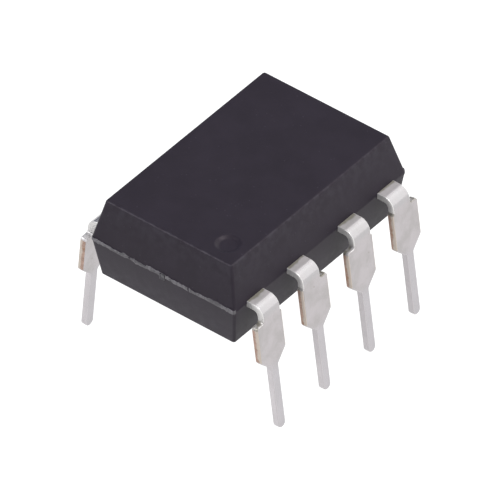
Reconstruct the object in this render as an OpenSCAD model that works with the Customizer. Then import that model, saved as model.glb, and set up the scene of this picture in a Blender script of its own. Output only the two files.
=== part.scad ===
// Eight-lead dual in-line chip package.
//
// A moulded epoxy body holds two rows of formed leads, with the die, its paddle and its
// bond wires sealed inside. The origin is under the middle of the part, in the plane of
// the lead tips, with +Z up and +Y along the body. Lead 1 is beside the round mark, at
// +X and -Y. Leads 1 to 4 run along the +X side towards +Y, and 5 to 8 come back along
// the -X side. All sizes are in millimetres and degrees.

/* [Moulded body] */
// Length at the parting line
body_l = 9.60; // [8.9:0.02:10.8]
// Width at the parting line
body_w = 6.52; // [6.1:0.02:7.1]
// Height above the parting line
upper_h = 1.70; // [1.4:0.05:2.2]
// Height below the parting line
lower_h = 1.70; // [1.4:0.05:2.2]
// Draft of the long sides above the parting line
upper_side_draft = 13.4; // [5:0.1:15]
// Draft of the ends above the parting line
upper_end_draft = 12.3; // [5:0.1:15]
// Draft of the long sides below the parting line
lower_side_draft = 8.0; // [5:0.1:15]
// Draft of the ends below the parting line
lower_end_draft = 7.6; // [5:0.1:15]
// Radius of the sloping edges at the four corners
corner_r = 0.10; // [0.08:0.01:0.25]
// Radius of the edges round the top
rim_r = 0.09; // [0.05:0.01:0.15]
// Radius of the edges round the underside
foot_r = 0.04; // [0.02:0.01:0.15]
// How far the mould flash stands out of the ends
flash_out = 0.05; // [0.02:0.01:0.1]
// Thickness of the mould flash at the parting line
flash_t = 0.09; // [0.05:0.01:0.15]

/* [Lead 1 mark] */
// Diameter of the round mark
mark_d = 1.00; // [0.6:0.05:1.4]
// Depth of the mark
mark_depth = 0.08; // [0.04:0.01:0.15]
// Distance of the mark's centre from the two edges of the top face
mark_inset = 0.86; // [0.75:0.01:1.2]
// Draft of the mark's wall
mark_draft = 30; // [10:1:45]

/* [Ejector marks] */
// Diameter of the two ejector pin marks in the underside
ejector_d = 1.20; // [0.8:0.05:1.6]
// Depth of the ejector pin marks
ejector_depth = 0.05; // [0.03:0.01:0.1]
// Distance of their centres from the ends of the underside
ejector_inset = 1.50; // [1.1:0.05:2]

/* [Leads] */
// Pitch of the leads in a row
pitch = 2.54; // [2.5:0.01:2.6]
// Thickness of the lead frame
lead_t = 0.25; // [0.2:0.01:0.3]
// Depth of the lead frame's middle below the parting line
lead_sink = 0.06; // [0:0.01:0.1]
// Width of a lead where it leaves the body
neck_w = 0.93; // [0.8:0.01:1]
// Offset of that neck from the middle of the pin
neck_shift = 0.155; // [0.1:0.005:0.17]
// Length of the straight neck outside the body
neck_l = 0.27; // [0.15:0.01:0.5]
// Inner radius of the bend
bend_r = 0.20; // [0.15:0.01:0.35]
// Angle by which the pins stand out from the vertical
splay = 6.3; // [0:0.1:10]
// Length of the neck between the bend and the shoulder
drop_l = 0.25; // [0.15:0.01:0.4]
// Width of the shoulder
shoulder_w = 1.37; // [1.3:0.01:1.7]
// Length of the shoulder's straight sides
shoulder_l = 1.56; // [1.1:0.01:1.8]
// Length of the taper from the shoulder to the pin
taper_l = 0.49; // [0.3:0.01:0.6]
// Width of the pin
pin_w = 0.38; // [0.36:0.01:0.56]
// Radius of the shoulder's outer corners
shoulder_r = 0.12; // [0.04:0.01:0.15]
// Radius of the inner corners, beside the neck and the pin
fillet_r = 0.10; // [0.03:0.01:0.12]
// Height of the underside of the body above the lead tips
stand_h = 3.65; // [3.3:0.05:4.2]

/* [Lead frame inside the body] */
// Length of the die paddle
paddle_l = 3.20; // [2.6:0.1:3.4]
// Width of the die paddle
paddle_w = 2.50; // [2.2:0.1:2.6]
// Width of the tie bars between the paddle and the ends of the body
tie_w = 0.22; // [0.15:0.01:0.3]
// Gap between the paddle or a tie bar and the nearest lead
frame_gap = 0.35; // [0.25:0.01:0.4]
// Width of a lead's inner tip
finger_w = 0.60; // [0.4:0.05:0.7]
// Diameter of the hole that keys a lead into the moulding
key_d = 0.40; // [0.3:0.05:0.5]
// Distance of the key hole from the side of the body
key_inset = 0.70; // [0.5:0.05:0.9]

/* [Die and bond wires] */
// Length of the die
die_l = 1.80; // [1.2:0.1:2.2]
// Width of the die
die_w = 1.50; // [1:0.1:1.9]
// Thickness of the die
die_t = 0.30; // [0.2:0.01:0.4]
// Thickness of the glue under the die
glue_t = 0.04; // [0.02:0.01:0.06]
// How far the glue shows round the die
glue_margin = 0.06; // [0.02:0.01:0.1]
// Diameter of a bond wire
wire_d = 0.05; // [0.04:0.005:0.06]
// Diameter of the ball on the die and of the foot on the lead
bond_d = 0.14; // [0.12:0.01:0.16]
// Height of the ball and of the foot
bond_h = 0.06; // [0.05:0.005:0.08]
// Distance of a ball from the die's edge
pad_inset = 0.15; // [0.1:0.01:0.25]
// Distance of a foot from the lead's inner tip
foot_inset = 0.22; // [0.15:0.01:0.3]
// Angle between a wire and its chord at either end
wire_rise = 62; // [45:1:75]

/* [Hidden] */

$fn = 48;

// Heights above the lead tips
parting_z = stand_h + lower_h;
top_z = parting_z + upper_h;
lead_z = parting_z - lead_sink;
lead_top_z = lead_z + lead_t / 2;
die_top_z = lead_top_z + glue_t + die_t;

// Half the size of the flat faces above and below
top_half = [
    body_w / 2 - upper_h * tan(upper_side_draft),
    body_l / 2 - upper_h * tan(upper_end_draft)
];
under_half_l = body_l / 2 - lower_h * tan(lower_end_draft);

// The bend turns about an axis along Y, at this distance from the middle of the part
bend_x = body_w / 2 + neck_l;
bend_z = lead_z - lead_t / 2 - bend_r;
bend_turn = 90 - splay;

// The blade hangs from the end of the bend, and its inner face ends at the height of the tips
blade_top_z = bend_z + (bend_r + lead_t / 2) * sin(splay);
blade_l = (blade_top_z - lead_t / 2 * sin(splay)) / cos(splay);
ledge_y = -drop_l;
corner_y = ledge_y - shoulder_l;
pin_y = corner_y - taper_l;

// Places along the rows, for the end lead and the inner lead on the -Y side
end_y = -1.5 * pitch;
inner_y = -0.5 * pitch;
end_neck_y = end_y + neck_shift;
inner_neck_y = inner_y - neck_shift;

// The inner tips stand off the paddle and the tie bar by the same gap
end_tip_x = tie_w / 2 + frame_gap;
end_tip_y = -paddle_l / 2 - frame_gap;
inner_tip_x = paddle_w / 2 + frame_gap;
key_x = body_w / 2 - key_inset;

// A cut runs past the face that it opens by this much
past = 1;
// The corner rounding crosses the drafted faces at this angle
blend_angle = 4;
arc_steps = 6;

// Unit vector along v
function unit(v) = v / norm(v);

// Points of the arc of radius r that replaces corner p between its neighbours a and b
function rounded_corner(a, p, b, r) =
    let (u = unit(a - p), v = unit(b - p),
         half = acos(u * v) / 2,
         reach = min(r, 0.45 * min(norm(a - p), norm(b - p)) * tan(half)),
         centre = p + unit(u + v) * reach / sin(half),
         start = p + u * reach / tan(half) - centre,
         turn = 180 - 2 * half,
         way = cross(u, v) > 0 ? -1 : 1)
    [for (i = [0:arc_steps])
        let (a_i = way * turn * i / arc_steps)
        centre + [start.x * cos(a_i) - start.y * sin(a_i), start.x * sin(a_i) + start.y * cos(a_i)]];

// Outline through points [x, y, r], each of them rounded with its own radius r
function rounded_outline(points) =
    let (n = len(points))
    [for (i = [0:n - 1])
        let (p = points[i], a = points[(i + n - 1) % n], b = points[(i + 1) % n])
        each p.z == 0 ? [[p.x, p.y]]
                      : rounded_corner([a.x, a.y], [p.x, p.y], [b.x, b.y], p.z)];

// Section of the body across one axis: two drafted halves that meet at the parting line
module body_section(size, upper_draft, lower_draft) {
    top = size / 2 - upper_h * tan(upper_draft);
    under = size / 2 - lower_h * tan(lower_draft);
    polygon(rounded_outline([
        [top, upper_h, rim_r], [-top, upper_h, rim_r], [-size / 2, 0, 0],
        [-under, -lower_h, foot_r], [under, -lower_h, foot_r], [size / 2, 0, 0]
    ]));
}

// Tool that rounds one sloping corner edge of a half, at +X +Y, with the parting line at z = 0
module corner_tool(height, side_draft, end_draft) {
    low = [body_w / 2, body_l / 2, 0];
    high = [body_w / 2 - height * tan(side_draft), body_l / 2 - height * tan(end_draft), height];
    side = [cos(side_draft), 0, sin(side_draft)];
    end = [0, cos(end_draft), sin(end_draft)];
    along = unit(high - low);
    out = unit(side + end);
    across = cross(along, out);
    lean = side * out;
    depth = corner_r * cos(blend_angle);
    intersection() {
        multmatrix([
            [out.x, across.x, along.x, low.x],
            [out.y, across.y, along.y, low.y],
            [out.z, across.z, along.z, low.z]
        ])
            translate([0, 0, -past])
                linear_extrude(norm(high - low) + 2 * past)
                    difference() {
                        translate([depth * lean - depth / lean, -past])
                            square([past, 2 * past]);
                        translate([-depth / lean, 0]) circle(corner_r);
                    }
        translate([0, 0, height]) cube([2 * body_w, 2 * body_l, 2 * height], center = true);
    }
}

// All four corner tools of one half
module corner_tools(height, side_draft, end_draft) {
    for (flip_x = [0, 1], flip_y = [0, 1])
        mirror([flip_x, 0, 0]) mirror([0, flip_y, 0])
            corner_tool(height, side_draft, end_draft);
}

// Outside of the moulding, with the flash that the mould leaves along its parting line
module moulding() {
    translate([0, 0, parting_z]) {
        difference() {
            intersection() {
                rotate([90, 0, 0])
                    linear_extrude(2 * body_l, center = true)
                        body_section(body_w, upper_side_draft, lower_side_draft);
                rotate([90, 0, 90])
                    linear_extrude(2 * body_w, center = true)
                        body_section(body_l, upper_end_draft, lower_end_draft);
            }
            corner_tools(upper_h, upper_side_draft, upper_end_draft);
            mirror([0, 0, 1]) corner_tools(lower_h, lower_side_draft, lower_end_draft);
        }
        cube([body_w - 2 * corner_r, body_l + 2 * flash_out, flash_t], center = true);
    }
}

// Shallow round mark beside lead 1
module mark() {
    translate([top_half.x - mark_inset, mark_inset - top_half.y, top_z - mark_depth])
        cylinder(h = 2 * mark_depth, d1 = mark_d - 2 * mark_depth * tan(mark_draft),
                 d2 = mark_d + 2 * mark_depth * tan(mark_draft));
}

// Marks that the ejector pins leave in the underside
module ejector_marks() {
    for (side = [-1, 1])
        translate([0, side * (under_half_l - ejector_inset), stand_h - past])
            cylinder(h = past + ejector_depth, d = ejector_d);
}

// Flat outline of a blade from the bend down: neck, shoulder, taper and round-ended pin.
// The wide side of the ledge is at -X of the outline, and the neck stands towards +X.
module blade_outline() {
    neck_left = neck_shift - neck_w / 2;
    neck_right = neck_shift + neck_w / 2;
    shoulder = shoulder_w / 2;
    step = max(shoulder - neck_right, 0);
    pin = pin_w / 2;
    polygon(rounded_outline([
        [neck_left, 0, 0], [neck_left, ledge_y, fillet_r],
        [-shoulder, ledge_y, shoulder_r], [-shoulder, corner_y, shoulder_r],
        [-pin, pin_y, fillet_r], [-pin, pin - blade_l, 0],
        [pin, pin - blade_l, 0], [pin, pin_y, fillet_r],
        [shoulder, corner_y, shoulder_r], [shoulder, ledge_y, 0],
        [neck_right, ledge_y + step, 0], [neck_right, 0, 0]
    ]));
    translate([0, pin - blade_l]) circle(pin);
}

// Kite that holds the bend's corner outside radius r, and reaches past it
module bend_corner(r, reach) {
    q = r + reach;
    difference() {
        polygon([[0, 0], [0, q], [q * (1 - sin(splay)) / cos(splay), q], [q * cos(splay), q * sin(splay)]]);
        circle(r / cos(blend_angle));
    }
}

// Section of the sheet along a lead: flat inside the body, bent once and straight to the tip
module lead_section() {
    outer_r = bend_r + lead_t;
    fall = bend_z + past;
    translate([bend_x, bend_z])
        difference() {
            union() {
                polygon([
                    [-bend_x, bend_r], [-bend_x, outer_r],
                    [outer_r * (1 - sin(splay)) / cos(splay), outer_r],
                    [outer_r / cos(splay) + fall * tan(splay), -fall],
                    [bend_r / cos(splay) + fall * tan(splay), -fall],
                    [bend_r * (1 - sin(splay)) / cos(splay), bend_r]
                ]);
                bend_corner(bend_r, lead_t / 2);
            }
            bend_corner(outer_r, past);
        }
}

// Blade of a lead seen square on, cut through whatever lies behind it
module blade_cut(pin_place, turned) {
    translate([bend_x + (bend_r + lead_t / 2) * cos(splay), pin_place, blade_top_z])
        rotate([0, -splay, 0]) rotate([90, 0, 90])
            linear_extrude(2 * past, center = true)
                mirror([turned ? 1 : 0, 0, 0]) blade_outline();
}

// Finger, neck and bend of a lead seen from above, with the key hole in the finger
module finger_cut(points, key_place) {
    low = blade_top_z - drop_l / 2;
    translate([0, 0, low])
        linear_extrude(lead_top_z + past - low)
            difference() {
                polygon(points);
                translate([key_x, key_place]) circle(d = key_d);
            }
}

// Sheet bent to the lead's section, and as much of it as its cuts leave
module formed_sheet() {
    intersection() {
        rotate([90, 0, 0]) linear_extrude(2 * body_l, center = true) lead_section();
        union() children();
    }
}

// Lead at the end of a row, on the +X -Y quarter, whose finger runs to the paddle's end
module end_lead() {
    near = end_neck_y + neck_w / 2;
    far = end_neck_y - neck_w / 2;
    elbow_x = key_x - key_d;
    formed_sheet() {
        finger_cut([
            [bend_x + past, near], [elbow_x, near], [end_tip_x + finger_w, near + finger_w],
            [end_tip_x + finger_w, end_tip_y], [end_tip_x, end_tip_y],
            [end_tip_x, near + finger_w / 2], [elbow_x, far], [bend_x + past, far]
        ], end_neck_y);
        blade_cut(end_y, false);
    }
}

// Inner lead of a row, on the +X -Y quarter, whose finger stops beside the paddle
module inner_lead() {
    near = inner_neck_y + neck_w / 2;
    far = inner_neck_y - neck_w / 2;
    formed_sheet() {
        finger_cut([
            [bend_x + past, near], [inner_tip_x, near], [inner_tip_x, near - finger_w],
            [inner_tip_x + neck_w - finger_w, far], [bend_x + past, far]
        ], inner_neck_y);
        blade_cut(inner_y, true);
    }
}

// Whether lead i is the first or the last of its row
function at_end(i) = i == 1 || i == 4 || i == 5 || i == 8;

// Whether lead i is in the row at +X
function on_right(i) = i <= 4;

// Whether lead i is in the half at -Y
function on_front(i) = i <= 2 || i >= 7;

// Puts what is drawn in the +X -Y quarter where lead i is
module at_lead(i) {
    mirror([on_right(i) ? 0 : 1, 0, 0]) mirror([0, on_front(i) ? 0 : 1, 0]) children();
}

// Lead i, of tinned copper sheet
module lead(i) {
    color("silver")
        at_lead(i) {
            if (at_end(i)) end_lead();
            else inner_lead();
        }
}

// Wire from a ball at from to a foot at to, in one round loop
module wire(from, to) {
    run = to - from;
    flat = norm([run.x, run.y]);
    chord = norm(run);
    loop_r = chord / (2 * sin(wire_rise));
    translate(from)
        rotate([0, -atan2(run.z, flat), atan2(run.y, run.x)])
            translate([chord / 2, 0, -loop_r * cos(wire_rise)])
                rotate([90, 0, 0]) rotate([0, 0, 90 - wire_rise])
                    rotate_extrude(angle = 2 * wire_rise)
                        translate([loop_r, 0]) circle(d = wire_d);
}

// Wire from the die to a lead's finger, with its ball and its foot, on the +X -Y quarter
module bonded_wire(pad, foot) {
    translate([pad.x, pad.y, die_top_z]) cylinder(h = bond_h, d = bond_d);
    translate([foot.x, foot.y, lead_top_z]) cylinder(h = bond_h, d = bond_d);
    wire([pad.x, pad.y, die_top_z + bond_h / 2], [foot.x, foot.y, lead_top_z + bond_h / 2]);
}

// Bond wire of lead i
module bond_wire(i) {
    color("gold")
        at_lead(i) {
            if (at_end(i))
                bonded_wire([die_w / 4, pad_inset - die_l / 2],
                            [end_tip_x + finger_w / 2, end_tip_y - foot_inset]);
            else
                bonded_wire([die_w / 2 - pad_inset, -die_l / 6],
                            [inner_tip_x + foot_inset, inner_neck_y + neck_w / 2 - finger_w / 2]);
        }
}

// Paddle that carries the die, with the tie bars that held it in the strip
module die_paddle() {
    color("rosybrown")
        translate([0, 0, lead_z]) {
            cube([paddle_w, paddle_l, lead_t], center = true);
            cube([tie_w, body_l + 2 * flash_out, lead_t], center = true);
        }
}

// Layer of glue between the die and the paddle
module die_attach() {
    color("gainsboro")
        translate([-die_w / 2 - glue_margin, -die_l / 2 - glue_margin, lead_top_z])
            cube([die_w + 2 * glue_margin, die_l + 2 * glue_margin, glue_t]);
}

// Silicon die
module die() {
    color("slategray")
        translate([-die_w / 2, -die_l / 2, lead_top_z + glue_t]) cube([die_w, die_l, die_t]);
}

// Moulded body, which fills all the space round what it holds
module body() {
    color("dimgray")
        difference() {
            moulding();
            mark();
            ejector_marks();
            for (i = [1:8]) {
                lead(i);
                bond_wire(i);
            }
            die_paddle();
            die_attach();
            die();
        }
}

module lead_1() { lead(1); }
module lead_2() { lead(2); }
module lead_3() { lead(3); }
module lead_4() { lead(4); }
module lead_5() { lead(5); }
module lead_6() { lead(6); }
module lead_7() { lead(7); }
module lead_8() { lead(8); }
module bond_wire_1() { bond_wire(1); }
module bond_wire_2() { bond_wire(2); }
module bond_wire_3() { bond_wire(3); }
module bond_wire_4() { bond_wire(4); }
module bond_wire_5() { bond_wire(5); }
module bond_wire_6() { bond_wire(6); }
module bond_wire_7() { bond_wire(7); }
module bond_wire_8() { bond_wire(8); }

body();
lead_1();
lead_2();
lead_3();
lead_4();
lead_5();
lead_6();
lead_7();
lead_8();
die_paddle();
die_attach();
die();
bond_wire_1();
bond_wire_2();
bond_wire_3();
bond_wire_4();
bond_wire_5();
bond_wire_6();
bond_wire_7();
bond_wire_8();
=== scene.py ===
"""Dressed scene of an eight-lead dual in-line chip.

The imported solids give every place. This script gives the visible pieces their full form and
finish: the moulded body with its parting flash and pin marks, and the blanked, bent and tinned
leads. Lengths are in millimetres until a mesh is written, because the chip is so small.
"""

import logging
import math
from dataclasses import dataclass
from enum import Enum, IntEnum
from typing import Any, Mapping, Sequence

import bmesh
import bpy
from mathutils import Matrix, Vector, noise


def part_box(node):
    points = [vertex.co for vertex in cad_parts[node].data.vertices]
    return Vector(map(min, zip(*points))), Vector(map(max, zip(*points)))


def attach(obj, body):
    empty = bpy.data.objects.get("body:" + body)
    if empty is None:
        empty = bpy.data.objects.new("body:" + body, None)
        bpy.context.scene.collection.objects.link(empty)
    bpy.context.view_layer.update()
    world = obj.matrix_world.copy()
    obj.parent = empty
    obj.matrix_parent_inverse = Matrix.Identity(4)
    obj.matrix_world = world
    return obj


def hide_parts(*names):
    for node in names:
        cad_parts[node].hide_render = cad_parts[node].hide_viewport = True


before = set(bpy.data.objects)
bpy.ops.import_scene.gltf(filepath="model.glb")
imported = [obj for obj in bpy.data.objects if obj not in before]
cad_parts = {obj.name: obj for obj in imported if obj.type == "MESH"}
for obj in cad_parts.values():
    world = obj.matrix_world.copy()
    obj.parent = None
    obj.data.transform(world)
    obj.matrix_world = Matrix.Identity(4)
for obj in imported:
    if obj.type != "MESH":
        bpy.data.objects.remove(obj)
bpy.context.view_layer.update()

MM = 0.001
ROOT_BODY = "root"
TIE_BAR_W = 0.22

Colour = tuple[float, float, float]
Point = tuple[float, float]
Corner = tuple[float, float, float]
Place = tuple[float, float, float]
Ring = list[bmesh.types.BMVert]

log = logging.getLogger("chip")


class Value:
    """A number, colour or vector inside a material, which takes part in Python expressions."""

    def __init__(self, recipe: "Recipe", socket: bpy.types.NodeSocket) -> None:
        """Keeps the recipe that the value belongs to and the socket that gives it."""
        self.recipe = recipe
        self.socket = socket

    def __add__(self, other: "Value | float") -> "Value":
        """Adds a number or value."""
        return self.recipe.math("ADD", self, other)

    def __radd__(self, other: float) -> "Value":
        """Adds this value to a number."""
        return self.recipe.math("ADD", other, self)

    def __sub__(self, other: "Value | float") -> "Value":
        """Takes a number or value away."""
        return self.recipe.math("SUBTRACT", self, other)

    def __rsub__(self, other: float) -> "Value":
        """Takes this value away from a number."""
        return self.recipe.math("SUBTRACT", other, self)

    def __mul__(self, other: "Value | float") -> "Value":
        """Multiplies by a number or value."""
        return self.recipe.math("MULTIPLY", self, other)

    def __rmul__(self, other: float) -> "Value":
        """Multiplies a number by this value."""
        return self.recipe.math("MULTIPLY", other, self)

    def __abs__(self) -> "Value":
        """Drops the sign."""
        return self.recipe.math("ABSOLUTE", self, 0.0)

    def between(self, low: float, high: float) -> "Value":
        """Rises smoothly from 0 at low to 1 at high, or falls where low is the larger.

        Args:
            low: The value at which the result is 0.
            high: The value at which the result is 1.

        Returns:
            The smooth step between them.
        """
        settings = {"interpolation_type": "SMOOTHSTEP"}
        node = self.recipe.node("ShaderNodeMapRange", settings, {
            "Value": self, "From Min": low, "From Max": high, "To Min": 0.0, "To Max": 1.0,
        })
        return Value(self.recipe, node.outputs["Result"])

    def beside(self, place: float, edge: Point) -> "Value":
        """Rises or falls smoothly over an edge that is measured from a place.

        Args:
            place: The place.
            edge: How far past the place the result is 0, and how far past it is 1.

        Returns:
            The smooth step between them.
        """
        return self.between(place + edge[0], place + edge[1])


class MixSocket(IntEnum):
    """Places of a Mix node's sockets when it mixes colours."""

    SHARE = 0
    FIRST = 6
    SECOND = 7
    MIXED = 2


class Recipe:
    """Builds the nodes of one material or of the surroundings."""

    def __init__(self, tree: bpy.types.NodeTree) -> None:
        """Starts an empty recipe in a node tree."""
        self.tree = tree
        self.tree.nodes.clear()

    def node(
        self,
        kind: str,
        settings: Mapping[str, Any] | None = None,
        sockets: Mapping[str | int, Any] | None = None,
    ) -> bpy.types.Node:
        """Adds a node, sets it, and then fills or links its input sockets.

        Args:
            kind: Blender's name of the node's type.
            settings: Its settings, which are set first.
            sockets: What goes into its inputs, a value to link or a constant.

        Returns:
            The new node.
        """
        made = self.tree.nodes.new(kind)
        for name, choice in (settings or {}).items():
            setattr(made, name, choice)
        for name, content in (sockets or {}).items():
            if isinstance(content, Value):
                self.tree.links.new(content.socket, made.inputs[name])
            else:
                made.inputs[name].default_value = content
        return made

    def math(self, operation: str, first: Value | float, second: Value | float) -> Value:
        """Adds a Math node.

        Args:
            operation: The node's operation.
            first: Its first number.
            second: Its second number.

        Returns:
            The result.
        """
        made = self.node("ShaderNodeMath", {"operation": operation}, {0: first, 1: second})
        return Value(self, made.outputs[0])

    def stretched(self, place: Value, factors: Colour) -> Value:
        """Multiplies a vector's components by three factors."""
        made = self.node("ShaderNodeVectorMath", {"operation": "MULTIPLY"}, {0: place, 1: factors})
        return Value(self, made.outputs["Vector"])

    def component(self, place: Value, axis: int) -> Value:
        """Takes one component of a vector."""
        made = self.node("ShaderNodeSeparateXYZ", None, {0: place})
        return Value(self, made.outputs[axis])

    def blend(self, share: Value | float, first: Value | Colour, second: Value | Colour) -> Value:
        """Mixes two colours.

        Args:
            share: How much of the second colour there is.
            first: The colour where the share is 0.
            second: The colour where the share is 1.

        Returns:
            The mixed colour.
        """
        ends = [c if isinstance(c, Value) else (*c, 1.0) for c in (first, second)]
        made = self.node("ShaderNodeMix", {"data_type": "RGBA"}, {
            MixSocket.SHARE: share, MixSocket.FIRST: ends[0], MixSocket.SECOND: ends[1],
        })
        return Value(self, made.outputs[MixSocket.MIXED])

    def place(self) -> Value:
        """Gives the point on the piece, in millimetres in the part's frame."""
        made = self.node("ShaderNodeTexCoord")
        return self.stretched(Value(self, made.outputs["Object"]), (1 / MM, 1 / MM, 1 / MM))

    def carried(self, name: str, output: str) -> Value:
        """Reads what the mesh carries under a name.

        Args:
            name: The attribute's name.
            output: "Vector" for a vector or "Fac" for a number.

        Returns:
            The attribute's value.
        """
        made = self.node("ShaderNodeAttribute", {"attribute_name": name})
        return Value(self, made.outputs[output])

    def grain(self, place: Value, per_mm: float, detail: float = 2.0, rough: float = 0.5) -> Value:
        """Adds soft noise.

        Args:
            place: Where on the surface, in millimetres.
            per_mm: How many grains there are to a millimetre.
            detail: How many finer layers there are.
            rough: How strong the finer layers are.

        Returns:
            Noise around 0.5.
        """
        made = self.node("ShaderNodeTexNoise", None, {
            "Vector": place, "Scale": per_mm, "Detail": detail, "Roughness": rough,
        })
        return Value(self, made.outputs[0])

    def specks(self, place: Value, per_mm: float, reach: float) -> Value:
        """Adds small round specks.

        Args:
            place: Where on the surface, in millimetres.
            per_mm: How many cells there are to a millimetre, with one speck each.
            reach: The specks' radius as a share of a cell.

        Returns:
            1 in the middle of a speck and 0 outside it.
        """
        core = 0.6 * reach
        made = self.node("ShaderNodeTexVoronoi", None, {"Vector": place, "Scale": per_mm})
        return Value(self, made.outputs["Distance"]).between(reach, core)

    def bump(self, height: Value, depth_mm: float) -> Value:
        """Turns a height into a surface normal.

        Args:
            height: The relief, from 0 to 1.
            depth_mm: The height of a relief of 1, in millimetres.

        Returns:
            The normal.
        """
        made = self.node("ShaderNodeBump", None, {
            "Height": height, "Distance": depth_mm * MM, "Strength": 1.0,
        })
        return Value(self, made.outputs["Normal"])

    def surface(self, sockets: Mapping[str | int, Any]) -> None:
        """Ends a material's recipe in its surface shader.

        Args:
            sockets: What goes into the shader's inputs.
        """
        shader = self.node("ShaderNodeBsdfPrincipled", None, sockets)
        self.node("ShaderNodeOutputMaterial", None, {"Surface": Value(self, shader.outputs[0])})


@dataclass(frozen=True)
class Finish:
    """What a surface is made of, and how its making left it."""

    name: str

    def material(self) -> bpy.types.Material:
        """Builds the finish as a material, or gives the one that is there already.

        Returns:
            The material.
        """
        known = bpy.data.materials.get(self.name)
        if known:
            return known
        made = bpy.data.materials.new(self.name)
        made.use_nodes = True
        self.dress(Recipe(made.node_tree))
        return made

    def dress(self, recipe: Recipe) -> None:
        """Fills in the recipe. Each finish has its own."""
        raise NotImplementedError(self.name)


@dataclass(frozen=True)
class MouldedEpoxy(Finish):
    """Charcoal moulding compound with the fine spark-eroded grain of its mould."""

    name: str = "moulded_epoxy"
    dark: Colour = (0.0148, 0.0122, 0.0174)
    light: Colour = (0.0173, 0.0142, 0.0204)
    filler: Colour = (0.040, 0.034, 0.046)
    # Lighter rim colour: partly real wear, partly a painted highlight along the rims.
    worn_and_sheen: Colour = (0.040, 0.038, 0.047)
    sheen: Colour = (1.0, 0.87, 0.93)
    sheen_level: float = 0.155
    filler_share: float = 0.5
    worn_and_sheen_share: float = 0.6
    roughness: float = 0.45
    rubbed_gloss: float = 0.08
    polish_gloss: float = 0.06
    grain_depth: float = 0.0022

    def dress(self, recipe: Recipe) -> None:
        """Mottles the compound, strews filler specks in it, lightens its rims partly by wear and partly by
        a painted highlight, and grains its skin.

        Args:
            recipe: The material's recipe.
        """
        place = recipe.place()
        mottle = recipe.grain(place, per_mm=0.9, detail=3.0, rough=0.6)
        skin = recipe.grain(place, per_mm=26.0, detail=4.0, rough=0.65)
        pebbles = recipe.grain(place, per_mm=8.0)
        swarms = recipe.grain(place, per_mm=2.3).between(0.5, 0.62)
        specks = recipe.specks(place, per_mm=5.0, reach=0.16) * swarms
        worn_and_lit_patches = recipe.grain(place, per_mm=3.5, detail=4.0).between(0.35, 0.7)
        rubbed = recipe.carried("edge", "Fac") * worn_and_lit_patches
        polish = recipe.carried("polish", "Fac")
        tone = recipe.blend(mottle.between(0.3, 0.7), self.dark, self.light)
        tone = recipe.blend(self.filler_share * specks, tone, self.filler)
        # The rims are lightened partly by wear and partly by a painted highlight along the top edge.
        tone = recipe.blend(self.worn_and_sheen_share * rubbed, tone, self.worn_and_sheen)
        rough = self.roughness + 0.10 * (skin - 0.5) + 0.05 * (mottle - 0.5)
        recipe.surface({
            "Base Color": tone,
            "Roughness": rough - self.rubbed_gloss * rubbed - self.polish_gloss * polish,
            "Specular IOR Level": self.sheen_level,
            "Specular Tint": (*self.sheen, 1.0),
            "Normal": recipe.bump(0.6 * skin + 0.4 * pebbles, self.grain_depth),
        })


@dataclass(frozen=True)
class BrokenFlash(Finish):
    """Epoxy broken off along the mould's parting line, paler where the filler shows."""

    name: str = "broken_flash"
    dark: Colour = (0.052, 0.048, 0.054)
    light: Colour = (0.112, 0.105, 0.114)
    roughness: float = 0.70
    crumb_depth: float = 0.012

    def dress(self, recipe: Recipe) -> None:
        """Roughens the break and lightens its high spots.

        Args:
            recipe: The material's recipe.
        """
        place = recipe.place()
        crumbs = recipe.grain(place, per_mm=14.0, detail=4.0, rough=0.7)
        patches = recipe.grain(place, per_mm=2.2)
        pale = (0.45 * crumbs + 0.55 * patches).between(0.42, 0.55)
        recipe.surface({
            "Base Color": recipe.blend(pale, self.dark, self.light),
            "Roughness": self.roughness + 0.15 * (crumbs - 0.5),
            "IOR": 1.5,
            "Normal": recipe.bump(crumbs, self.crumb_depth),
        })


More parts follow.
